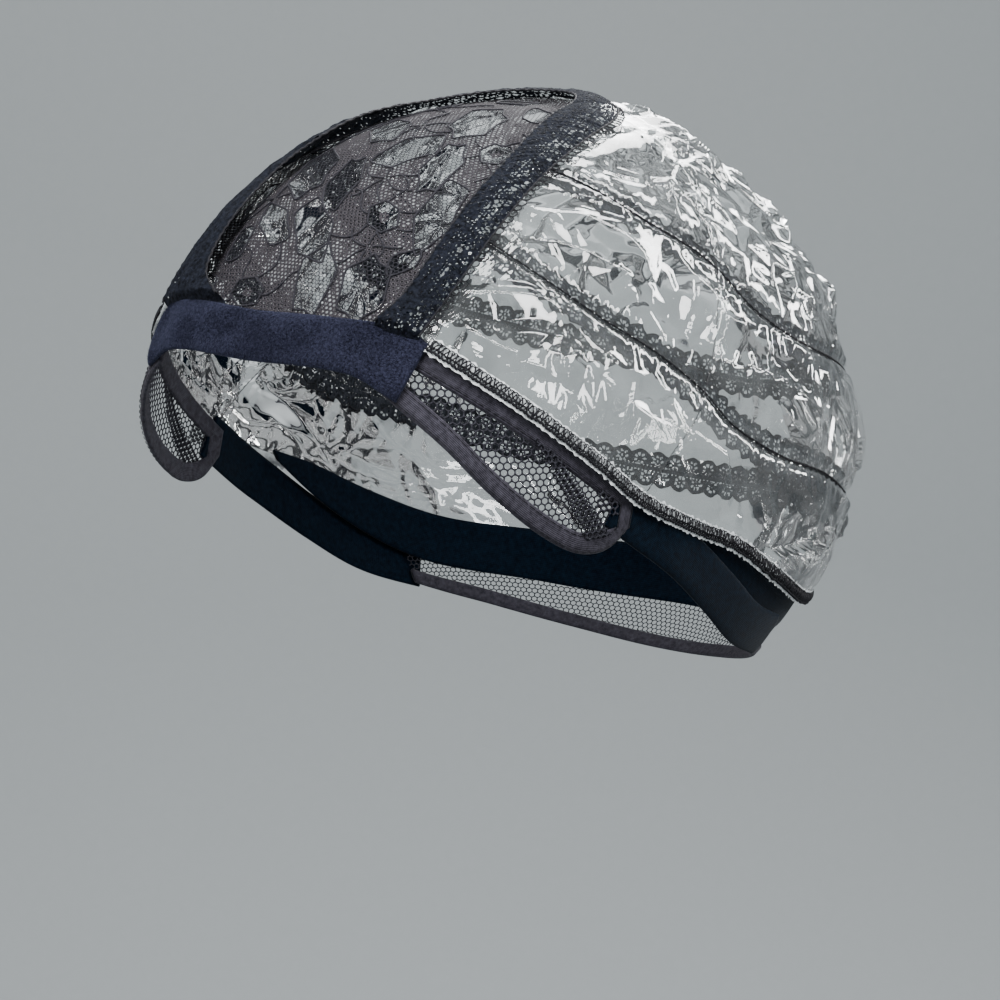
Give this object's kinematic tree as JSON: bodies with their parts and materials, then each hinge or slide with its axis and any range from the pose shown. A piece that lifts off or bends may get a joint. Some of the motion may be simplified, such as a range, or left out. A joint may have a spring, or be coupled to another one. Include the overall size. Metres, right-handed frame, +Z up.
{
  "type": "wig cap",
  "caption": "Worn wig-making cap: velvet front band, lace crown panel in a U-shaped trim, clear film sides and back with gathered lace rows, net ear tabs and elastic nape straps.",
  "frame": {"origin": "where the crown of the wearer's head touches the inside of the lace panel, at the top of the cap's hollow", "axes": "+Z up along the wearer's head, -Y towards the face, +X to the wearer's left"},
  "size_m": [0.1638, 0.2093, 0.1689],
  "materials": {
    "velvet": "short pile velvet, near-black navy",
    "lace": "patterned hex-net lace, black",
    "stretch_lace": "gathered stretch lace trim, black",
    "row_lace": "ruffled scalloped lace strip, black",
    "film": "clear crinkled soft plastic film",
    "hem_thread": "overlocked thread over the film's edge",
    "net": "open hexagonal net, black",
    "binding": "folded satin binding, charcoal",
    "elastic": "woven elastic, blue-black"
  },
  "bodies": {
    "root": {"front_band": "velvet", "lace_panel": "lace", "crown_trim": "stretch_lace", "film_side_left": "film", "film_side_right": "film", "film_back": "film", "lace_row_upper": "row_lace", "lace_row_lower": "row_lace", "film_hem": "hem_thread", "ear_net_left": "net", "ear_net_right": "net", "ear_pleat_left": "net", "ear_pleat_right": "net", "ear_binding_left": "binding", "ear_binding_right": "binding", "nape_band": "elastic", "strap_left": "elastic", "strap_right": "elastic", "nape_net": "net", "nape_binding": "binding"}
  },
  "joints": []
}
